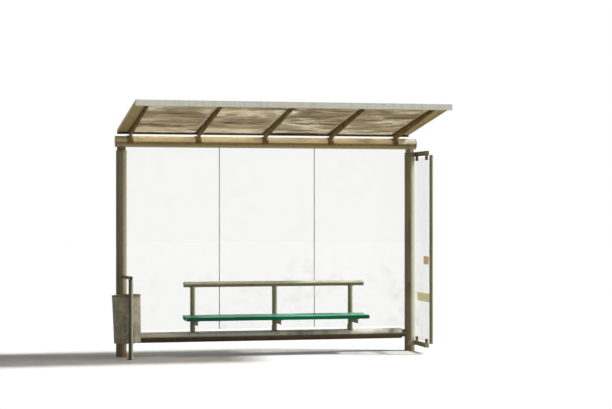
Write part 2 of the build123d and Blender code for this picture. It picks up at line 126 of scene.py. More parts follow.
class Nodes:
    """A tree of shader nodes: short calls add nodes and link them."""

    def __init__(self, tree: bpy.types.NodeTree) -> None:
        """Take a tree over."""
        self.tree = tree

    def node(self, kind: str, **values: Value | Colour) -> bpy.types.Node:
        """Add a node.

        Args:
            kind: Its type's name after ShaderNode.
            **values: Its inputs by name.

        Returns:
            The node.
        """
        node = self.tree.nodes.new(f"ShaderNode{kind}")
        for name, value in values.items():
            self.feed(node.inputs[name], value)
        return node

    def feed(self, socket: Socket, value: Value | Colour) -> None:
        """Link a socket to another one, or set it to a constant.

        Args:
            socket: The socket that takes the value.
            value: Another node's output, a number or a colour.
        """
        if isinstance(value, bpy.types.NodeSocket):
            self.tree.links.new(value, socket)
        elif isinstance(value, tuple):
            socket.default_value = (*value, 1.0) if socket.type == "RGBA" else value
        else:
            socket.default_value = value

    def maths(self, operation: str, first: Value, second: Value = 0.0) -> Socket:
        """Add a Math node.

        Args:
            operation: The node's operation.
            first: Its first value.
            second: Its second value.

        Returns:
            The result's socket.
        """
        node = self.node("Math")
        node.operation = operation
        self.feed(node.inputs[0], first)
        self.feed(node.inputs[1], second)
        return node.outputs[0]


class Paintbox(Nodes):
    """A material in the making."""

    def __init__(self, name: str) -> None:
        """Start a material.

        Args:
            name: The material's name.
        """
        self.material = bpy.data.materials.new(name)
        self.material.use_nodes = True
        super().__init__(self.material.node_tree)
        self.shader = self.tree.nodes["Principled BSDF"]
        self.where = self.node("TexCoord")
        self.axes = self.parts(self.where.outputs["Object"])
        self.facing = self.parts(self.where.outputs["Normal"])

    def parts(self, vector: Socket) -> dict[str, Socket]:
        """Split a vector into its X, Y and Z."""
        node = self.node("SeparateXYZ", Vector=vector)
        return {letter: node.outputs[letter] for letter in "XYZ"}

    def times(self, first: Value, second: Value) -> Socket:
        """Multiply two values."""
        return self.maths("MULTIPLY", first, second)

    def raised(self, base: Value, value: Value, factor: float) -> Socket:
        """Raise a base value by a share of another one."""
        return self.maths("ADD", self.times(value, factor), base)

    def step(self, value: Value, low: float, high: float, top: float = 1.0) -> Socket:
        """Rise smoothly from 0 at one value to a top at another one.

        Args:
            value: The value that is tested.
            low: Where the result is 0; it may be above high, for a fall.
            high: Where the result reaches the top.
            top: The highest result.

        Returns:
            The result's socket.
        """
        node = self.node("MapRange")
        node.interpolation_type = "SMOOTHSTEP"
        for socket, setting in zip(node.inputs, (value, low, high, 0.0, top)):
            self.feed(socket, setting)
        return node.outputs[0]

    def drawn(self, grain: Grain, *shift: float) -> Socket:
        """Give the object's own coordinates, moved and drawn out for a texture."""
        own = self.where.outputs["Object"]
        return self.node("Mapping", Vector=own, Location=shift, Scale=grain.value).outputs[0]

    def noise(
        self, size: float, grain: Grain = Grain.EVEN, detail: float = 3.0,
        roughness: float = 0.55, shift: float = 0.0,
    ) -> Socket:
        """Add a cloudy pattern of 0 to 1 in the object's own coordinates.

        Args:
            size: The size of its patches, in metres.
            grain: The way that the patches are drawn out.
            detail: The number of finer layers.
            roughness: The weight of the finer layers.
            shift: A distance that moves the pattern, so that two patterns differ.

        Returns:
            The pattern's socket.
        """
        place = self.drawn(grain, shift, 2 * shift, 3 * shift)
        node = self.node(
            "TexNoise", Vector=place, Scale=0.5 / size, Detail=detail, Roughness=roughness
        )
        return node.outputs["Fac"]

    def blots(self, size: float, shift: float) -> Socket:
        """Add a pattern of cells of a size in metres: the distance to the nearest one's middle."""
        place = self.drawn(Grain.EVEN, shift, shift, shift)
        return self.node("TexVoronoi", Vector=place, Scale=1 / size).outputs["Distance"]

    def mix(self, share: Value, first: Socket | Colour, second: Socket | Colour) -> Socket:
        """Mix two colours.

        Args:
            share: The second colour's share.
            first: The colour at a share of 0.
            second: The colour at a share of 1.

        Returns:
            The mixed colour's socket.
        """
        node = self.node("Mix")
        node.data_type = "RGBA"
        self.feed(node.inputs[0], share)
        self.feed(node.inputs[6], first)
        self.feed(node.inputs[7], second)
        return node.outputs[2]

    def bump(self, height: Socket, depth: float) -> None:
        """Raise the surface by a pattern, whose 1 lies a depth in metres over its 0."""
        node = self.node("Bump", Distance=depth, Height=height)
        self.feed(self.shader.inputs["Normal"], node.outputs[0])

    def finish(self, **values: Value | Colour) -> Material:
        """Feed the shader and hand the material over.

        Args:
            **values: Its inputs by name, with spaces as low lines.

        Returns:
            The finished material.
        """
        for name, value in values.items():
            self.feed(self.shader.inputs[name.replace("_", " ")], value)
        return self.material


@dataclass(frozen=True)
class WeatheredPaint:
    """Satin paint on steel: faded on top, streaked with dirt, chipped, with rust at its foot; its
    paler tops, undersides, +X sides and end also carry painted light.
    """

    name: str
    coat: Colour
    grime: Colour
    # colour of sun fading and of painted light on tops, also used for the scuffs
    fade: Colour
    dirt: float = 0.5  # how much the streaks show
    chips: float = 0.35
    foot: float = 0.0  # height of the rust at the foot
    belly: float = 0.0  # how far the underside takes the paler fade colour: painted bounce light
    fading: Span = (0.15, 0.6)  # upward share of the normal, where the top's fading and painted light start and are full
    gloss: float = 0.45
    rust: Colour = screen(150, 88, 42)
    bleach: Colour | None = None  # colour of a painted sunlit patch at the end, beyond the next field's place along X
    open_from: float = 0.0
    sunny: Colour | None = None  # painted sunlit colour of the sides that look along +X
    lighting: Span = (0.1, 0.5)  # that share of the normal, where it starts and is full
    rim: float = 0.0  # height above which a band at the rim is darkened: painted shade
    scuffs: float = 0.0
    joints: tuple[float, ...] = ()
    stain: Colour = screen(196, 150, 118)
    stain_reach: float = 0.09

    def material(self) -> Material:
        """Build the paint's material.

        Returns:
            The material.
        """
        box = Paintbox(self.name)
        clouds = box.noise(0.22, detail=4)
        streaks = box.noise(0.02, Grain.DOWN, detail=4, roughness=0.65, shift=3.1)
        dirty = box.times(box.step(streaks, 0.42, 0.68), box.step(clouds, 0.34, 0.62))
        colour = box.mix(box.times(dirty, self.dirt), self.coat, self.grime)
        colour = self.bleached(box, colour, clouds)
        colour = self.marked(box, colour)
        mottled = box.noise(0.012, shift=1.7)
        colour = box.mix(box.step(mottled, 0.52, 0.8, 0.35), colour, self.grime)
        worn = self.wear(box, clouds)
        colour = box.mix(worn, colour, self.rust)
        rough = box.raised(box.raised(self.gloss, dirty, 0.25), worn, 0.3)
        box.bump(box.raised(mottled, worn, 0.6), 0.0006)
        return box.finish(Base_Color=colour, Roughness=rough, Specular_IOR_Level=0.22)

    def bleached(self, box: Paintbox, colour: Socket, clouds: Socket) -> Socket:
        """Lighten the paint on its tops, partly sun fading and partly painted light; on its
        undersides, painted bounce light; and on its +X sides and sunlit end, painted sunlight.

        Args:
            box: The material in the making.
            colour: The paint's colour so far.
            clouds: The pattern that breaks the top's fading and painted light up.

        Returns:
            The lightened colour.
        """
        # Partly sun fading, partly painted light: faces that look up take the paler fade colour.
        top = box.step(box.facing["Z"], *self.fading)
        fade = self.fade
        # Painted sunlight: beyond a place along X the fade colour gives way to a paler one.
        if self.bleach:
            uncovered = box.step(box.axes["X"], self.open_from, self.open_from + 0.04)
            fade = box.mix(uncovered, self.fade, self.bleach)
        colour = box.mix(box.times(top, box.step(clouds, 0.2, 0.5)), colour, fade)
        # Painted bounce light: faces that look down take the paler fade colour.
        if self.belly:
            colour = box.mix(box.step(box.facing["Z"], -0.3, -0.92, self.belly), colour, fade)
        # Painted sunlight: sides that look along +X take a paler colour.
        if self.sunny:
            lit = box.step(box.facing["X"], *self.lighting, 0.9)
            colour = box.mix(lit, colour, self.sunny)
        return colour

    def marked(self, box: Paintbox, colour: Socket) -> Socket:
        """Add scuffs, a painted shade band at the rim and the stains that run from joints.

        Args:
            box: The material in the making.
            colour: The paint's colour so far.

        Returns:
            The marked colour.
        """
        if self.scuffs:
            rubbed = box.noise(0.06, detail=5, roughness=0.65, shift=9.3)
            colour = box.mix(box.step(rubbed, 0.46, 0.62, self.scuffs), colour, self.fade)
        if self.rim:
            # Painted shade: the band at the rim takes the grime colour.
            brim = box.step(box.axes["Z"], self.rim, self.rim + 0.01, 0.6)
            colour = box.mix(brim, colour, self.grime)
        if self.joints:
            runs = box.step(box.noise(0.03, detail=5, roughness=0.7, shift=4.9), 0.42, 0.56)
            runs = box.times(runs, box.step(box.facing["Z"], 0.0, 0.5))
        for joint in self.joints:
            away = box.maths("ABSOLUTE", box.maths("SUBTRACT", box.axes["X"], joint))
            near = box.step(away, self.stain_reach, 0.4 * self.stain_reach, 0.7)
            colour = box.mix(box.times(near, runs), colour, self.stain)
        return colour

    def wear(self, box: Paintbox, clouds: Socket) -> Socket:
        """Give the share of bare, rusty metal: chips all over, and a crust at the foot.

        Args:
            box: The material in the making.
            clouds: The pattern that gathers the chips.

        Returns:
            The share's socket.
        """
        flaked = box.times(box.step(box.blots(0.045, 0.4), 0.16, 0.08), box.step(clouds, 0.5, 0.62))
        worn = box.times(flaked, self.chips)
        if self.foot:
            damp = box.step(box.axes["Z"], self.foot, 0.1 * self.foot)
            crust = box.step(box.noise(0.04, detail=5, roughness=0.7, shift=5.3), 0.44, 0.56)
            worn = box.maths("MAXIMUM", worn, box.times(damp, crust))
        return worn


@dataclass(frozen=True)
class BronzeSheet:
    """Bronze roof sheet that lets light through: its pale and dark patches and lines are partly
    dust, litter and water lines, partly painted dappled tree shade, with a painted shade strip
    along the front.
    """

    name: str
    tint: Colour
    dust: Colour
    litter: Colour
    # dark colour of the water lines and of the painted shade
    shade: Colour
    first_arm: float = 0.095
    arm_pitch: float = 0.78325
    arm_bank: Span = (0.72, 0.75)
    rear_bank: Span = (-0.34, -0.17)
    # Y span of a painted shade strip along the front, under the fascia
    front_seam: Span = (-1.54, -1.58)

    def material(self) -> Material:
        """Build the sheet's material.

        Returns:
            The material.
        """
        box = Paintbox(self.name)
        bands = box.noise(0.09, Grain.BANDS, detail=5, roughness=0.62, shift=0.8)
        clouds = box.noise(0.4, shift=2.2)
        colour = box.mix(box.step(bands, 0.42, 0.6), self.tint, self.dust)
        colour = box.mix(box.times(self.settled(box), 0.9), colour, self.litter)
        lines = box.noise(0.05, Grain.LINES, detail=4, roughness=0.6, shift=3.7)
        stained = box.times(box.step(lines, 0.57, 0.61), box.step(clouds, 0.36, 0.5))
        # Painted shade: a dark strip along the front, under the fascia.
        front = box.step(box.axes["Y"], *self.front_seam)
        dark = box.maths("MAXIMUM", stained, front)
        colour = box.mix(box.times(dark, 0.8), colour, self.shade)
        rough = box.raised(0.6, clouds, 0.3)
        box.bump(bands, 0.0008)
        return box.finish(
            Base_Color=colour, Roughness=rough, Transmission_Weight=0.8, IOR=1.58,
            Specular_IOR_Level=0.2,
        )

    def settled(self, box: Paintbox) -> Socket:
        """Give the share of pale litter in drifts and along the rear, and of a pale strip beside
        each arm.

        Args:
            box: The material in the making.

        Returns:
            The share's socket.
        """
        drifts = box.noise(0.23, Grain.BANDS, detail=6, roughness=0.6, shift=4.4)
        clumps = box.noise(0.05, Grain.BANDS, detail=5, roughness=0.7, shift=7.9)
        clumps = box.step(clumps, 0.4, 0.56)
        spread = box.times(box.step(drifts, 0.5, 0.58), clumps)
        rear = box.step(box.axes["Y"], *self.rear_bank)
        banked = box.times(rear, box.raised(0.35, clumps, 0.55))
        along = box.maths("SUBTRACT", box.axes["X"], self.first_arm)
        beside = box.step(box.maths("MODULO", along, self.arm_pitch), *self.arm_bank, 0.7)
        return box.maths("MAXIMUM", box.maths("MAXIMUM", spread, banked), beside)


@dataclass(frozen=True)
class ClearGlass:
    """Clear toughened glass with ground green edges, dusty, and smeared more towards its foot."""

    name: str
    haze: Colour
    edge: Colour
    normal: str
    veil: float = 0.06
    smear: float = 0.12

    def material(self) -> Material:
        """Build the glass's material.

        Returns:
            The material.
        """
        box = Paintbox(self.name)
        face = box.maths("ABSOLUTE", box.facing[self.normal])
        rim = box.step(face, 0.8, 0.5)
        clouds = box.noise(0.3, detail=4, shift=6.1)
        wiped = box.noise(0.06, detail=5, roughness=0.6, shift=1.3)
        low = box.step(box.axes["Z"], 1.25, 0.5)
        dirty = box.times(box.step(wiped, 0.38, 0.75), box.step(clouds, 0.35, 0.7))
        dirty = box.times(dirty, box.raised(0.1, low, 0.9))
        spots = box.step(box.blots(0.02, 0.9), 0.14, 0.07, 0.12)
        cover = box.maths("ADD", box.raised(self.veil, dirty, self.smear), spots)
        cover = box.maths("MAXIMUM", cover, box.times(rim, 0.72))
        colour = box.mix(rim, self.haze, self.edge)
        rough = box.raised(0.06, dirty, 0.5)
        return box.finish(Base_Color=colour, Roughness=rough, Alpha=cover, IOR=1.52)


@dataclass(frozen=True)
class PaintedWood:
    """Gloss paint on boards: the grain shows through, and the top is paler in patches, partly
    rubbed by sitting, partly painted sunlight.
    """

    name: str
    coat: Colour
    # paler colour of the top: partly rubbed paint, partly painted sunlight
    rubbed: Colour
    bare: Colour
    dark: Colour

    def material(self) -> Material:
        """Build the painted wood's material.

        Returns:
            The material.
        """
        box = Paintbox(self.name)
        grain = box.noise(0.006, Grain.ALONG, detail=5, roughness=0.6)
        clouds = box.noise(0.12, Grain.BANDS, detail=5, roughness=0.62, shift=2.9)
        # Partly wear, partly painted sunlight: patches on the top take the paler colour.
        top = box.step(box.facing["Z"], 0.4, 0.95)
        rubbed = box.times(top, box.step(clouds, 0.43, 0.55))
        colour = box.mix(rubbed, self.coat, self.rubbed)
        colour = box.mix(box.step(grain, 0.5, 0.75, 0.4), colour, self.dark)
        flakes = box.noise(0.03, Grain.ALONG, detail=6, roughness=0.8, shift=8.8)
        flaked = box.step(flakes, 0.7, 0.74)
        colour = box.mix(flaked, colour, self.bare)
        rough = box.raised(0.2, clouds, 0.3)
        box.bump(box.raised(grain, flaked, -0.8), 0.0009)
        return box.finish(Base_Color=colour, Roughness=rough, Specular_IOR_Level=0.12)


@dataclass(frozen=True)
class WornMetal:
    """Plated or bare metal of bolts and screws, dull and spotted with rust."""

    name: str
    metal: Colour
    rust: Colour = screen(120, 66, 32)
    rusty: float = 0.5

    def material(self) -> Material:
        """Build the metal's material.

        Returns:
            The material.
        """
        box = Paintbox(self.name)
        spots = box.step(box.noise(0.006, detail=4, roughness=0.7), 0.46, 0.62, self.rusty)
        colour = box.mix(spots, self.metal, self.rust)
        shine = box.maths("SUBTRACT", 0.85, spots)
        box.bump(spots, 0.0003)
        return box.finish(Base_Color=colour, Roughness=box.raised(0.36, spots, 0.4), Metallic=shine)


@dataclass(frozen=True)
class MattePlastic:
    """Rubber, plastic, film or dry leaves: matt, mottled and a little dusty."""

    name: str
    body: Colour
    dust: Colour
    rough: float = 0.7
    patch: float = 0.05
    sheer: float = 0.0

    def material(self) -> Material:
        """Build the plastic's material.

        Returns:
            The material.
        """
        box = Paintbox(self.name)
        dusty = box.step(box.noise(self.patch, detail=4, roughness=0.6), 0.4, 0.75, 0.6)
        fine = box.noise(0.002, detail=2)
        colour = box.mix(dusty, self.body, self.dust)
        rough = box.raised(self.rough, dusty, 0.2)
        box.bump(fine, 0.0002)
        return box.finish(
            Base_Color=colour, Roughness=rough, Subsurface_Weight=self.sheer,
            Subsurface_Radius=(1.0, 1.0, 1.0), Subsurface_Scale=0.003,
        )


def made(kind: type, name: str, *colours: tuple[int, int, int], **settings: object) -> Material:
    """Build the material of a kind of finish, with its main colours given as screen values."""
    return kind(name, *(screen(*colour) for colour in colours), **settings).material()


class Finishes:
    """The shelter's finishes, each built once."""

    def __init__(self) -> None:
        """Build every material."""
        paint, matt = partial(made, WeatheredPaint), partial(made, MattePlastic)
        # Its sides that face +X take a painted sunlit colour.
        self.post = paint(
            "post_paint", (143, 137, 109), (86, 77, 56), (214, 206, 176), foot=0.12,
            rust=screen(178, 122, 70), sunny=screen(190, 184, 150),
        )
        # The right post's paint is a lighter copy of the post paint with a wider painted sunlit
        # side: painted sunlight where the roof leaves it unshaded.
        self.outer_post = paint(
            "outer_post_paint", (156, 144, 112), (88, 72, 50), (214, 206, 176), foot=0.07,
            rust=screen(136, 92, 56), sunny=screen(210, 208, 188), lighting=(-0.1, 0.2),
        )
        # The beam's pale top band is painted light let through by the sheets as well as fading, its
        # pale underside painted bounce light, and its end past 3.34 m a painted sunlit patch.
        self.beam = paint(
            "beam_paint", (160, 140, 98), (112, 92, 58), (244, 226, 186), chips=0.2,
            belly=0.65, fading=(-0.12, 0.08), bleach=screen(210, 202, 186), open_from=3.34,
        )
        # The arms' paint is a darker copy of the frame paint: painted shade under the roof, as well
        # as their streaks.
        self.arm = paint("arm_paint", (132, 106, 54), (84, 62, 26), (176, 152, 106), dirt=0.7)
        # The right neck's pale paint is a lighter copy of the post paint: painted sunlight on its
        # plates.
        self.neck = paint("neck_paint", (204, 196, 176), (146, 134, 112), (232, 226, 210))
        # The rear rail's dark paint is painted shade on its face under the sheets.
        self.rear = paint("rear_paint", (92, 76, 46), (48, 38, 22), (150, 130, 92), dirt=0.8)
        # The tube's pale top is painted light as well as fading.
        self.tube = paint(
            "tube_paint", (112, 97, 70), (84, 70, 50), (248, 245, 232), foot=0.2,
            fading=(-0.1, 0.3), joints=tuple(middle(node).x for node in SEAT_FRAMES),
        )
        # The bench's pale tops are painted light as well as fading, its pale undersides painted
        # bounce light and its +X sides painted sunlight.
        self.bench = paint(
            "bench_paint", (150, 142, 112), (86, 76, 54), (236, 232, 208), belly=0.3,
            fading=(-0.1, 0.4), sunny=screen(204, 202, 170),
        )
        # Its sides that face +X take a painted sunlit colour.
        self.screen_tube = paint(
            "screen_paint", (158, 152, 124), (96, 84, 62), (212, 206, 182),
            sunny=screen(214, 210, 190),
        )
        self.screen_rail = paint(
            "rail_paint", (128, 114, 82), (72, 58, 36), (206, 198, 172), dirt=0.7
        )
        self.fascia = paint(
            "fascia_grey", (236, 237, 225), (168, 160, 140), (238, 237, 226), dirt=0.3, chips=0.1
        )
        self.tray = paint("tray_beige", (208, 187, 132), (152, 129, 82), (226, 212, 170), chips=0.1)
        # Its darkened band at the rim is painted shade.
        self.bin = paint(
            "bin_grey", (176, 168, 146), (88, 80, 64), (222, 216, 194), dirt=0.8,
            chips=0.9, rim=0.688, scuffs=0.5,
        )
        # Its sides that face +X take a painted sunlit colour.
        self.slim_post = paint(
            "slim_post_paint", (118, 112, 88), (78, 70, 52), (206, 200, 176),
            sunny=screen(216, 212, 192), lighting=(0.12, 0.4),
        )
        self.sheet = made(
            BronzeSheet, "bronze_sheet", (177, 161, 129), (211, 197, 167), (250, 246, 228),
            (74, 56, 34),
        )
        self.back_glass = made(
            ClearGlass, "back_glass", (206, 214, 202), (108, 140, 118), normal="Y"
        )
        self.screen_glass = made(
            ClearGlass, "screen_glass", (196, 208, 188), (112, 144, 120), normal="X", veil=0.12,
            smear=0.25,
        )
        self.wood = made(
            PaintedWood, "green_boards", (0, 116, 76), (112, 200, 158), (120, 108, 82), (2, 72, 48)
        )
        self.bolt = made(WornMetal, "bolt_zinc", (150, 148, 140))
        self.weld = made(WornMetal, "weld_steel", (96, 86, 70), rusty=0.8)
        # The seal's pale, translucent colour is partly painted highlight of the glass edges.
        self.seal = matt("pane_seal", (238, 236, 226), (214, 208, 190), rough=0.5, sheer=1.0)
        self.orange = matt("orange_film", (176, 132, 56), (188, 148, 80), rough=0.4, sheer=1.0)
        self.yellow = matt("yellow_film", (186, 178, 118), (200, 193, 150), rough=0.4, sheer=1.0)
        black = (0.01, 0.01, 0.01)
        self.plastic = MattePlastic("cap_plastic", black, screen(70, 64, 52)).material()
        self.leaf = matt("dry_leaves", (122, 92, 44), (168, 140, 84), rough=0.8, patch=0.2)


def dress(finish: Material, *names: str) -> None:
    """Give CAD nodes their finish.

    Args:
        finish: The material.
        *names: The nodes' names.
    """
    for name in names:
        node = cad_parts[name]
        for place in node.material_slots:
            place.material = finish
        if not node.material_slots:
            node.data.materials.append(finish)
        log.info("finish %s on %s", finish.name, name)


class Shaping:
    """A mesh in the making: started from a primitive and shaped in edit mode."""

    def __init__(self, name: str) -> None:
        """Take over the primitive that was just added.

        Args:
            name: The name that its object gets.
        """
        self.object = bpy.context.object
        self.object.name = name
        self.mesh = self.object.data

    @staticmethod
    def clear() -> None:
        """Deselect everything, so that the next operator acts on its own piece."""
        if bpy.context.object and bpy.context.object.mode != "OBJECT":
            bpy.ops.object.mode_set(mode="OBJECT")
        bpy.ops.object.select_all(action="DESELECT")

    @classmethod
    def rod(cls, name: str, radius: float, length: float, sides: int, foot: float = 0) -> "Shaping":
        """Start from an upright cylinder on its foot.

        Args:
            name: The piece's name.
            radius: The cylinder's radius.
            length: Its length.
            sides: The number of its sides.
            foot: The height of its lower end.

        Returns:
            The started mesh.
        """
        cls.clear()
        bpy.ops.mesh.primitive_cylinder_add(
            vertices=sides, radius=radius, depth=length, location=(0, 0, foot + length / 2)
        )
        return cls(name)

    @classmethod
    def block(cls, name: str, low: Vector, high: Vector) -> "Shaping":
        """Start from a block between two corners.

        Args:
            name: The piece's name.
            low: Its lowest corner.
            high: Its highest corner.

        Returns:
            The started mesh.
        """
        cls.clear()
        bpy.ops.mesh.primitive_cube_add(size=1, location=(low + high) / 2, scale=high - low)
        return cls(name)

    @classmethod
    def ring(cls, name: str, radius: float, bead: float, turns: int = 60) -> "Shaping":
        """Start from a ring that lies flat.

        Args:
            name: The piece's name.
            radius: The ring's radius.
            bead: Its section's radius.
            turns: The number of its segments.

        Returns:
            The started mesh.
        """
        cls.clear()
        bpy.ops.mesh.primitive_torus_add(
            major_segments=turns, minor_segments=6, major_radius=radius, minor_radius=bead
        )
        return cls(name)

    def settle(self) -> None:
        """Apply the object's place, turn and size to its mesh."""
        bpy.ops.object.mode_set(mode="OBJECT")
        bpy.ops.object.transform_apply(location=True, rotation=True, scale=True)

    def pick(self, kind: Part, test: Callable[[bpy.types.bpy_struct], bool]) -> None:
        """Select the parts of the mesh that pass a test and go to edit mode.

        Args:
            kind: The kind of part.
            test: A test of a vertex, an edge or a face.
        """
        self.settle()
        bpy.ops.object.mode_set(mode="EDIT")
        bpy.ops.mesh.select_mode(type=kind.value)
        bpy.ops.mesh.select_all(action="DESELECT")
        bpy.ops.object.mode_set(mode="OBJECT")
        for part in getattr(self.mesh, kind.name.lower()):
            part.select = test(part)
        bpy.ops.object.mode_set(mode="EDIT")

    def top(self) -> None:
        """Select the faces that look up."""
        self.pick(Part.POLYGONS, lambda face: face.normal.z > SQUARE)

    def whole(self) -> None:
        """Select the whole mesh in edit mode."""
        self.settle()
        bpy.ops.object.mode_set(mode="EDIT")
        bpy.ops.mesh.select_all(action="SELECT")

    def place(self, matrix: Matrix) -> None:
        """Move the finished mesh to its place on the shelter.

        Args:
            matrix: The placement.
        """
        self.settle()
        self.object.matrix_world = matrix
        self.settle()


def stand(point: Vector, outward: Vector) -> Matrix:
    """Give the placement that stands a piece on a point, with its Z turned outward."""
    return Matrix.Translation(point) @ outward.to_track_quat("Z", "Y").to_matrix().to_4x4()


def join(pieces: list[Piece], name: str) -> Piece:
    """Join pieces into one.

    Args:
        pieces: The pieces, of which the first takes the others in.
        name: The joined piece's name.

    Returns:
        The joined piece.
    """
    Shaping.clear()
    for piece in pieces:
        piece.select_set(True)
    bpy.context.view_layer.objects.active = pieces[0]
    bpy.ops.object.join()
    pieces[0].name = name
    return pieces[0]


def repeat(model: Piece, places: list[Matrix], name: str) -> Piece:
    """Copy a model to several places and join the copies into one piece.

    Args:
        model: The model, which is used up.
        places: The placement of each copy.
        name: The joined piece's name.

    Returns:
        The joined piece.
    """
    Shaping.clear()
    copies = []
    for place in places:
        copy = model.copy()
        copy.data = model.data.copy()
        copy.matrix_world = place
        bpy.context.scene.collection.objects.link(copy)
        copies.append(copy)
    bpy.data.objects.remove(model)
    joined = join(copies, name)
    bpy.ops.object.transform_apply(location=True, rotation=True, scale=True)
    return joined


def hand_over(piece: Piece, finish: Material, angle: float = SHARP_EDGE) -> None:
    """Finish a new piece: material, smooth shading and body.

    Args:
        piece: The piece, with its place in its mesh.
        finish: Its material.
        angle: The angle in degrees up to which edges are smoothed.
    """
    Shaping.clear()
    piece.select_set(True)
    bpy.context.view_layer.objects.active = piece
    piece.data.materials.clear()
    piece.data.materials.append(finish)
    bpy.ops.object.shade_smooth_by_angle(angle=math.radians(angle))
    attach(piece, "root")
    log.info("piece %s with %d faces", piece.name, len(piece.data.polygons))


@dataclass
class Fastener:
    """A bolt's or screw's head on its washer."""

    head: Head
    radius: float
    height: float
    washer: float
    washer_sides: int = 20

    def model(self) -> Piece:
        """Model the head once, standing on the origin.

        Returns:
            The model's object.
        """
        thick = 0.3 * self.height
        flat = Shaping.rod("washer", self.washer, thick, self.washer_sides)
        flat.top()
        bpy.ops.mesh.inset(thickness=0.08 * self.washer, depth=0.2 * thick)
        flat.settle()
        body = Shaping.rod("head", self.radius, 0.6 * self.height, self.head.value, thick)
        body.top()
        if self.head is Head.HEX:
            bpy.ops.mesh.inset(thickness=0.14 * self.radius, depth=0.25 * self.height)
            bpy.ops.mesh.inset(thickness=0.2 * self.radius, depth=-0.12 * self.height)
        else:
            for share, rise in ((0.16, 0.3), (0.26, 0.14), (0.3, 0.05)):
                bpy.ops.mesh.inset(thickness=share * self.radius, depth=rise * self.height)
        body.settle()
        return join([body.object, flat.object], "fastener")


@dataclass
class WeldBead:
    """A weld run round a tube: a ring with an uneven surface."""

    bead: float
    unevenness: float = 0.0007

    def fit(self, name: str, rings: list[tuple[float, Matrix]], finish: Material) -> None:
        """Lay one bead at each place.

        Args:
            name: The joined piece's name.
            rings: The radius and placement of each bead.
            finish: The weld's material.
        """
        laid = []
        for seed, (radius, place) in enumerate(rings, start=1):
            ring = Shaping.ring("bead", radius, self.bead)
            ring.whole()
            bpy.ops.transform.vertex_random(offset=self.unevenness, seed=seed)
            ring.place(place)
            laid.append(ring.object)
        hand_over(join(laid, name), finish, SOFT_EDGE)

    def saddle(self, radius: float, pipe: float, turns: int = 36) -> Piece:
        """Model a bead round an upright that stands on a pipe along X.

        Args:
            radius: The upright's radius.
            pipe: The pipe's radius.
            turns: The number of the bead's segments.

        Returns:
            The model, with the pipe's crown at the origin.
        """
        ring = Shaping.ring("bead", radius, self.bead, turns)
        sides = len(ring.mesh.vertices) // turns
        for turn in range(turns):
            ring.pick(Part.VERTICES, lambda vertex: vertex.index // sides == turn)
            across = radius * math.sin(2 * math.pi * turn / turns)
            bpy.ops.transform.translate(value=(0, 0, math.sqrt(pipe**2 - across**2) - pipe))
        ring.whole()
        bpy.ops.transform.vertex_random(offset=self.unevenness, seed=turns)
        ring.settle()
        return ring.object


@dataclass
class Assembly:
    """A group of the shelter's nodes with the fittings on them."""

    finishes: Finishes

    def fasten(self, name: str, fastener: Fastener, places: list[Matrix], slot: Slot) -> None:
        """Fit a fastener at each place, as one piece."""
        hand_over(repeat(fastener.model(), places, name), self.finishes.bolt)


@dataclass
class Supports(Assembly):
    """Posts, necks, beam and the tube along the ground."""

    radius: float = 0.06
    beam_radius: float = 0.063
    cap: float = 0.005  # thickness of the beam's closing discs
    sunk: float = 0.001  # depth of a bead's middle in its tube

    def build(self) -> None:
        """Dress the supports and weld them."""
        dress(self.finishes.post, "left_post", "left_neck")
        dress(self.finishes.outer_post, "right_post")
        dress(self.finishes.neck, "right_neck")
        dress(self.finishes.beam, "top_beam")
        dress(self.finishes.rear, "rear_rail")
        dress(self.finishes.tube, "bottom_tube", "left_tube_joint", "right_tube_joint")
        self.weld()

    def weld(self) -> None:
        """Lay the weld rings at the posts' tops, the beam's ends and the tube's ends."""
        rings = self.ends("top_beam", self.beam_radius, self.cap)
        for post in ("left_post", "right_post"):
            top = Vector((middle(post).x, 0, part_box(post)[1].z))
            rings.append((self.radius - self.sunk, stand(top, UP)))
        rings += self.ends("bottom_tube", self.radius)
        WeldBead(bead=0.003).fit("support_welds", rings, self.finishes.weld)

    def ends(self, node: str, radius: float, inset: float = 0.0) -> list[tuple[float, Matrix]]:
        """Give the radius and placement of the weld rings near both ends of a tube along X."""
        low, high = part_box(node)
        return [
            (radius - self.sunk, stand(Vector((x, 0, middle(node).z)), ALONG))
            for x in (low.x + inset, high.x - inset)
        ]


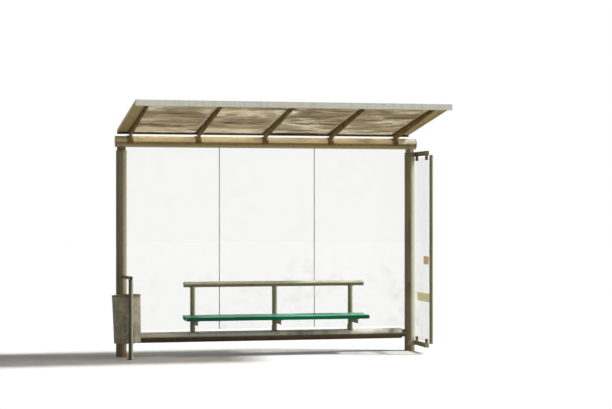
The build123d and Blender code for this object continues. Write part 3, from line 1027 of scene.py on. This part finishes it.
@dataclass
class Roof(Assembly):
    """Arms, sheets, trays and edging, with their screws and the litter on top."""

    thickness: float = 0.008  # of the sheets
    cover: float = 0.0035  # height of the screws' seats on the cover strips
    screws: int = 6  # on each cover strip
    screw_pitch: float = 0.3
    screw_inset: float = 0.07
    saddle: float = 0.0062  # height of the bolts' seats on the saddles, over the beam
    bolt_shift: float = 0.021  # distance from the arm's middle
    bolt_rise: float = 0.35  # how far a bolt looks up, per length forward
    leaves: int = 150
    leaf_radius: float = 0.02
    leaf_width: float = 0.55  # as a share of its length
    leaf_sizes: Span = (0.6, 1.25)
    leaf_tip: float = 0.25  # steepest lean, in radians
    leaf_rise: float = 0.006
    bare_ends: float = 0.03  # widths of the strips without leaves
    bare_front: float = 0.08
    bare_rear: float = 0.04
    seed: int = 11

    def build(self) -> None:
        """Dress the roof, fasten it and strew it with leaves."""
        dress(self.finishes.arm, *ARMS)
        dress(self.finishes.sheet, *SHEETS)
        dress(self.finishes.tray, "left_edge_tray", "right_edge_tray")
        dress(self.finishes.tray, "left_side_profile", "right_side_profile")
        dress(self.finishes.fascia, "front_fascia", "cover_strips")
        self.screw()
        self.bolt()
        self.strew()

    def seat(self, x: float, y: float, rise: float) -> Matrix:
        """Give the placement square to the sheets' upper side.

        Args:
            x: Its place along the shelter.
            y: Its place towards the back.
            rise: Its height over the sheets.

        Returns:
            The placement.
        """
        low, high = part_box(SHEETS[0])
        fall = (low.z - high.z + self.thickness) / (high.y - low.y)
        point = Vector((x, y, high.z + fall * (y - low.y) + rise))
        return stand(point, Vector((0, -fall, 1)).normalized())

    def screw(self) -> None:
        """Screw the cover strips down."""
        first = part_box(SHEETS[0])[0].y + self.screw_inset
        rows = [first + n * self.screw_pitch for n in range(self.screws)]
        places = [self.seat(middle(arm).x, y, self.cover) for arm in ARMS for y in rows]
        screw = Fastener(Head.DOME, radius=0.006, height=0.006, washer=0.009)
        self.fasten("cover_screws", screw, places, Slot.FASCIA)

    def bolt(self) -> None:
        """Bolt each arm's saddle to the beam, one bolt on each side of the web."""
        low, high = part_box("top_beam")
        outward = Vector((0, -1, self.bolt_rise)).normalized()
        reach = outward * ((high.z - low.z) / 2 + self.saddle)
        places = [
            stand(Vector((middle(arm).x + shift, 0, middle("top_beam").z)) + reach, outward)
            for arm in ARMS
            for shift in (-self.bolt_shift, self.bolt_shift)
        ]
        bolt = Fastener(Head.HEX, radius=0.007, height=0.008, washer=0.0095)
        self.fasten("saddle_bolts", bolt, places, Slot.FRAME)

    def strew(self) -> None:
        """Strew dry leaves over the sheets, more of them towards the low rear edge."""
        leaf = Shaping.rod("leaf", self.leaf_radius, 0.03 * self.leaf_radius, 8)
        leaf.top()
        bpy.ops.mesh.inset(thickness=0.55 * self.leaf_radius, depth=-0.2 * self.leaf_radius)
        leaf.whole()
        bpy.ops.transform.resize(value=(self.leaf_width, 1.0, 1.0))
        leaf.settle()
        random = Random(self.seed)
        low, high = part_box("cover_strips")
        front, rear = (corner.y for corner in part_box(SHEETS[0]))
        depth = rear - front - self.bare_front - self.bare_rear
        places = []
        for _ in range(self.leaves):
            x = random.uniform(low.x + self.bare_ends, high.x - self.bare_ends)
            y = rear - self.bare_rear - depth * random.random() ** 2
            turn = Matrix.Rotation(random.uniform(0, 2 * math.pi), 4, "Z")
            tip = Matrix.Rotation(random.uniform(-self.leaf_tip, self.leaf_tip), 4, "X")
            size = Matrix.Scale(random.uniform(*self.leaf_sizes), 4)
            places.append(self.seat(x, y, self.leaf_rise) @ turn @ tip @ size)
        litter = repeat(leaf.object, places, "leaf_litter")
        hand_over(litter, self.finishes.leaf, SOFT_EDGE)


@dataclass
class BackWall(Assembly):
    """Glass panes behind the posts, with their clamps."""

    clamp_inset: float = 0.2  # distance from the pane's ends
    screw_shift: float = 0.002  # distance behind the clamps' middle
    seal_lip: float = 0.002
    seal_hollow: float = 0.0012

    def build(self) -> None:
        """Dress the panes, seal their joints and screw their clamps."""
        dress(self.finishes.back_glass, *PANES)
        dress(self.finishes.bench, "pane_clamps")
        self.seal()
        self.screw()

    def seal(self) -> None:
        """Run a pale seal with a hollowed front and back down each joint between two panes; its
        pale, translucent colour is partly painted highlight of the glass edges.
        """
        seals = []
        for before, after in zip(PANES, PANES[1:]):
            left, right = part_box(before)[1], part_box(after)[0]
            low = Vector((left.x, right.y, right.z))
            strip = Shaping.block("seal", low, Vector((right.x, left.y, left.z)))
            strip.pick(Part.POLYGONS, lambda face: abs(face.normal.y) > SQUARE)
            bpy.ops.mesh.inset(thickness=self.seal_lip, depth=-self.seal_hollow)
            strip.settle()
            seals.append(strip.object)
        hand_over(join(seals, "pane_seals"), self.finishes.seal)

    def screw(self) -> None:
        """Screw the head clamps from above and the foot clamps from below."""
        foot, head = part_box("pane_clamps")
        depth = middle("pane_clamps").y + self.screw_shift
        places = []
        for pane in PANES:
            low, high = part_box(pane)
            for x in (low.x + self.clamp_inset, high.x - self.clamp_inset):
                places.append(stand(Vector((x, depth, head.z)), UP))
        for node in SEAT_FRAMES:
            places.append(stand(Vector((middle(node).x, depth, foot.z)), -UP))
        screw = Fastener(Head.DOME, radius=0.006, height=0.004, washer=0.0085)
        self.fasten("clamp_screws", screw, places, Slot.CLAMP)


@dataclass
class SeatBench(Assembly):
    """Seat frames, backrest and the three green boards."""

    width: float = 0.098  # of a board
    lean: float = math.radians(7)  # of the rear board
    upright: float = 0.0295  # radius of the beads round the uprights
    bolt_shift: float = 0.013  # distance from the frame's middle
    bolt_sunk: float = 0.0008

    def build(self) -> None:
        """Dress the bench, weld its uprights and bolt its boards."""
        dress(self.finishes.bench, "backrest_rail", *SEAT_FRAMES)
        dress(self.finishes.wood, *BOARDS)
        self.weld()
        self.bolt()

    def weld(self) -> None:
        """Run a bead round the foot and the head of each upright."""
        tube, (low, high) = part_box("bottom_tube")[1].z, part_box("backrest_rail")
        over = Matrix.Rotation(math.pi, 4, "X")
        feet = [Matrix.Translation((middle(node).x, 0, tube)) for node in SEAT_FRAMES]
        heads = [Matrix.Translation((middle(node).x, 0, low.z)) @ over for node in SEAT_FRAMES]
        laid = [
            repeat(WeldBead(bead=0.0035).saddle(self.upright, pipe), places, "beads")
            for pipe, places in ((Supports.radius, feet), ((high.z - low.z) / 2, heads))
        ]
        hand_over(join(laid, "bench_welds"), self.finishes.weld, SOFT_EDGE)

    def bolt(self) -> None:
        """Fit a coach bolt in each board over each seat frame."""
        places = []
        for node in SEAT_FRAMES:
            for board in BOARDS:
                lean = self.lean if board == BOARDS[-1] else 0.0
                place = middle(board)
                place.x = middle(node).x + self.bolt_shift
                place.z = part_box(board)[1].z - math.sin(lean) * self.width / 2 - self.bolt_sunk
                places.append(stand(place, Vector((0, -math.sin(lean), math.cos(lean)))))
        bolt = Fastener(Head.DOME, radius=0.011, height=0.005, washer=0.0125)
        self.fasten("coach_bolts", bolt, places, Slot.WOOD)


@dataclass
class EndScreen(Assembly):
    """The glass screen outside the right post, with two blank labels."""

    orange: tuple[Span, Span] = ((-0.535, -0.335), (1.035, 1.13))  # the label's Y and Z
    yellow: tuple[Span, Span] = ((-0.56, -0.09), (0.6, 0.7))
    label_thickness: float = 0.0004
    label_gap: float = 0.0001
    label_corner: float = 0.006
    clip_places: Span = (-0.06, -0.435)
    clip_grip: float = 0.014  # distance of a clip's screws from the glass's edge

    def build(self) -> None:
        """Dress the screen, fit its screws and stick the labels on."""
        dress(self.finishes.screen_rail, "screen_top_rail", "screen_clips")
        dress(self.finishes.screen_tube, "screen_edge_tube", "screen_bottom_rail")
        dress(self.finishes.screen_glass, "screen_pane")
        self.screw()
        self.label("orange_label", *self.orange, self.finishes.orange)
        self.label("yellow_label", *self.yellow, self.finishes.yellow)

    def screw(self) -> None:
        """Fit two screws in each clip, one on each of its sides."""
        low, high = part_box("screen_clips")
        foot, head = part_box("screen_pane")
        places = []
        for y in self.clip_places:
            for z in (foot.z + self.clip_grip, head.z - self.clip_grip):
                places.append(stand(Vector((low.x, y, z)), -ALONG))
                places.append(stand(Vector((high.x, y, z)), ALONG))
        screw = Fastener(Head.DOME, radius=0.0055, height=0.004, washer=0.008)
        self.fasten("clip_screws", screw, places, Slot.CLAMP)

    def label(self, name: str, reach: Span, height: Span, finish: Material) -> None:
        """Stick a blank label with rounded corners on the glass's inner side.

        Args:
            name: The piece's name.
            reach: Its two ends, along Y.
            height: Its lower and upper edge.
            finish: Its material.
        """
        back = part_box("screen_pane")[0].x - self.label_gap
        low = Vector((back - self.label_thickness, reach[0], height[0]))
        film = Shaping.block(name, low, Vector((back, reach[1], height[1])))

        def through(edge: bpy.types.MeshEdge) -> bool:
            """Tell whether an edge runs through the film's thickness."""
            first, second = (film.mesh.vertices[i].co for i in edge.vertices)
            return abs(first.x - second.x) > 0.5 * self.label_thickness

        film.pick(Part.EDGES, through)
        bpy.ops.mesh.bevel(offset=self.label_corner, segments=3)
        film.settle()
        hand_over(film.object, finish)


@dataclass
class LitterBin(Assembly):
    """The bin, its slender post, the tie channel and the black cap."""

    turn: float = math.radians(37.5)  # of the first bolt, from X
    flange: float = 0.008  # thickness of the foot flange
    bolt_ring: float = 0.0335
    bolts: int = 3

    def build(self) -> None:
        """Dress the bin and anchor its post."""
        dress(self.finishes.bin, "bin_body", "bin_hangers")
        dress(self.finishes.bench, "bin_tie_channel")
        dress(self.finishes.slim_post, "bin_post")
        dress(self.finishes.plastic, "channel_cap")
        self.bolt()

    def bolt(self) -> None:
        """Anchor the slender post's foot flange."""
        foot = middle("bin_post")
        foot.z = self.flange
        places = []
        for number in range(self.bolts):
            angle = self.turn + 2 * math.pi * number / self.bolts
            arm = Vector((math.cos(angle), math.sin(angle), 0))
            places.append(stand(foot + self.bolt_ring * arm, UP))
        bolt = Fastener(Head.HEX, radius=0.0055, height=0.006, washer=0.0072)
        self.fasten("foot_bolts", bolt, places, Slot.BIN)


@dataclass
class Studio:
    """The camera, the plain floor and the soft light."""

    camera_place: tuple[float, float, float] = (-2.225, -18.47, 1.70)
    camera_turn: float = -13.35
    focal_length: float = 95.65
    rise: float = 0.0041  # shift of the picture, as a share of its width
    lamps: tuple[tuple[str, float, float, tuple[float, float, float]], ...] = (
        ("key", 3.4, 8, (-0.66, 0.2, -0.9)),  # strength, width in degrees, way of the light
        ("side", 1.6, 30, (-1.0, 0.2, -0.2)),
        ("front", 0.3, 60, (0.3, 1.0, -0.1)),
    )
    sky: float = 0.08
    floor_radius: float = 60.0
    floor_lit: Colour = (0.36, 0.34, 0.3)  # as the light that it throws back has it
    floor_seen: Colour = (0.94, 0.94, 0.93)  # as the camera sees it

    def build(self) -> None:
        """Set the studio up round the shelter."""
        self.aim()
        self.lay_floor()
        self.light()
        bpy.context.scene.view_settings.view_transform = "Standard"

    def aim(self) -> None:
        """Place the camera at the photograph's viewing angle."""
        camera = bpy.data.cameras.new("camera")
        camera.lens, camera.sensor_width, camera.shift_y = self.focal_length, 36, self.rise
        holder = bpy.data.objects.new("camera", camera)
        holder.location = self.camera_place
        holder.rotation_euler = (math.radians(90), 0, math.radians(self.camera_turn))
        bpy.context.scene.collection.objects.link(holder)
        bpy.context.scene.camera = holder

    def lay_floor(self) -> None:
        """Lay a wide, round, pale floor."""
        Shaping.clear()
        bpy.ops.mesh.primitive_circle_add(vertices=96, radius=self.floor_radius, fill_type="NGON")
        floor = bpy.context.object
        floor.name = "floor"
        box = Paintbox("floor_pale")
        seen = box.node("LightPath").outputs["Is Camera Ray"]
        colour = box.mix(seen, self.floor_lit, self.floor_seen)
        floor.data.materials.append(box.finish(Base_Color=colour, Roughness=0.9))

    def light(self) -> None:
        """Light the shelter with three lamps and a weak sky that looks white."""
        world = bpy.data.worlds.new("sky")
        world.use_nodes = True
        sky = Nodes(world.node_tree)
        weak = sky.node("Background", Color=(0.96, 0.98, 1.0), Strength=self.sky)
        white = sky.node("Background", Color=(1.0, 1.0, 1.0))
        path = sky.node("LightPath").outputs
        seen = sky.maths("MAXIMUM", path["Is Camera Ray"], path["Is Glossy Ray"])
        seen = sky.maths("MAXIMUM", seen, path["Is Transmission Ray"])
        mixed = sky.node("MixShader")
        for socket, value in zip(mixed.inputs, (seen, weak.outputs[0], white.outputs[0])):
            sky.feed(socket, value)
        sky.feed(sky.tree.nodes["World Output"].inputs[0], mixed.outputs[0])
        bpy.context.scene.world = world
        for name, energy, width, towards in self.lamps:
            lamp = bpy.data.lights.new(name, "SUN")
            lamp.energy, lamp.angle = energy, math.radians(width)
            holder = bpy.data.objects.new(name, lamp)
            holder.rotation_mode = "QUATERNION"
            holder.rotation_quaternion = Vector(towards).to_track_quat("-Z", "Y")
            bpy.context.scene.collection.objects.link(holder)


def main() -> None:
    """Build the visual model."""
    logging.basicConfig(level=logging.INFO, format="%(name)s: %(message)s")
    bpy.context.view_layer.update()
    finishes = Finishes()
    for kind in (Supports, Roof, BackWall, SeatBench, EndScreen, LitterBin):
        kind(finishes).build()
        log.info("%s done", kind.__name__)
    Studio().build()


if __name__ == "__main__":
    main()
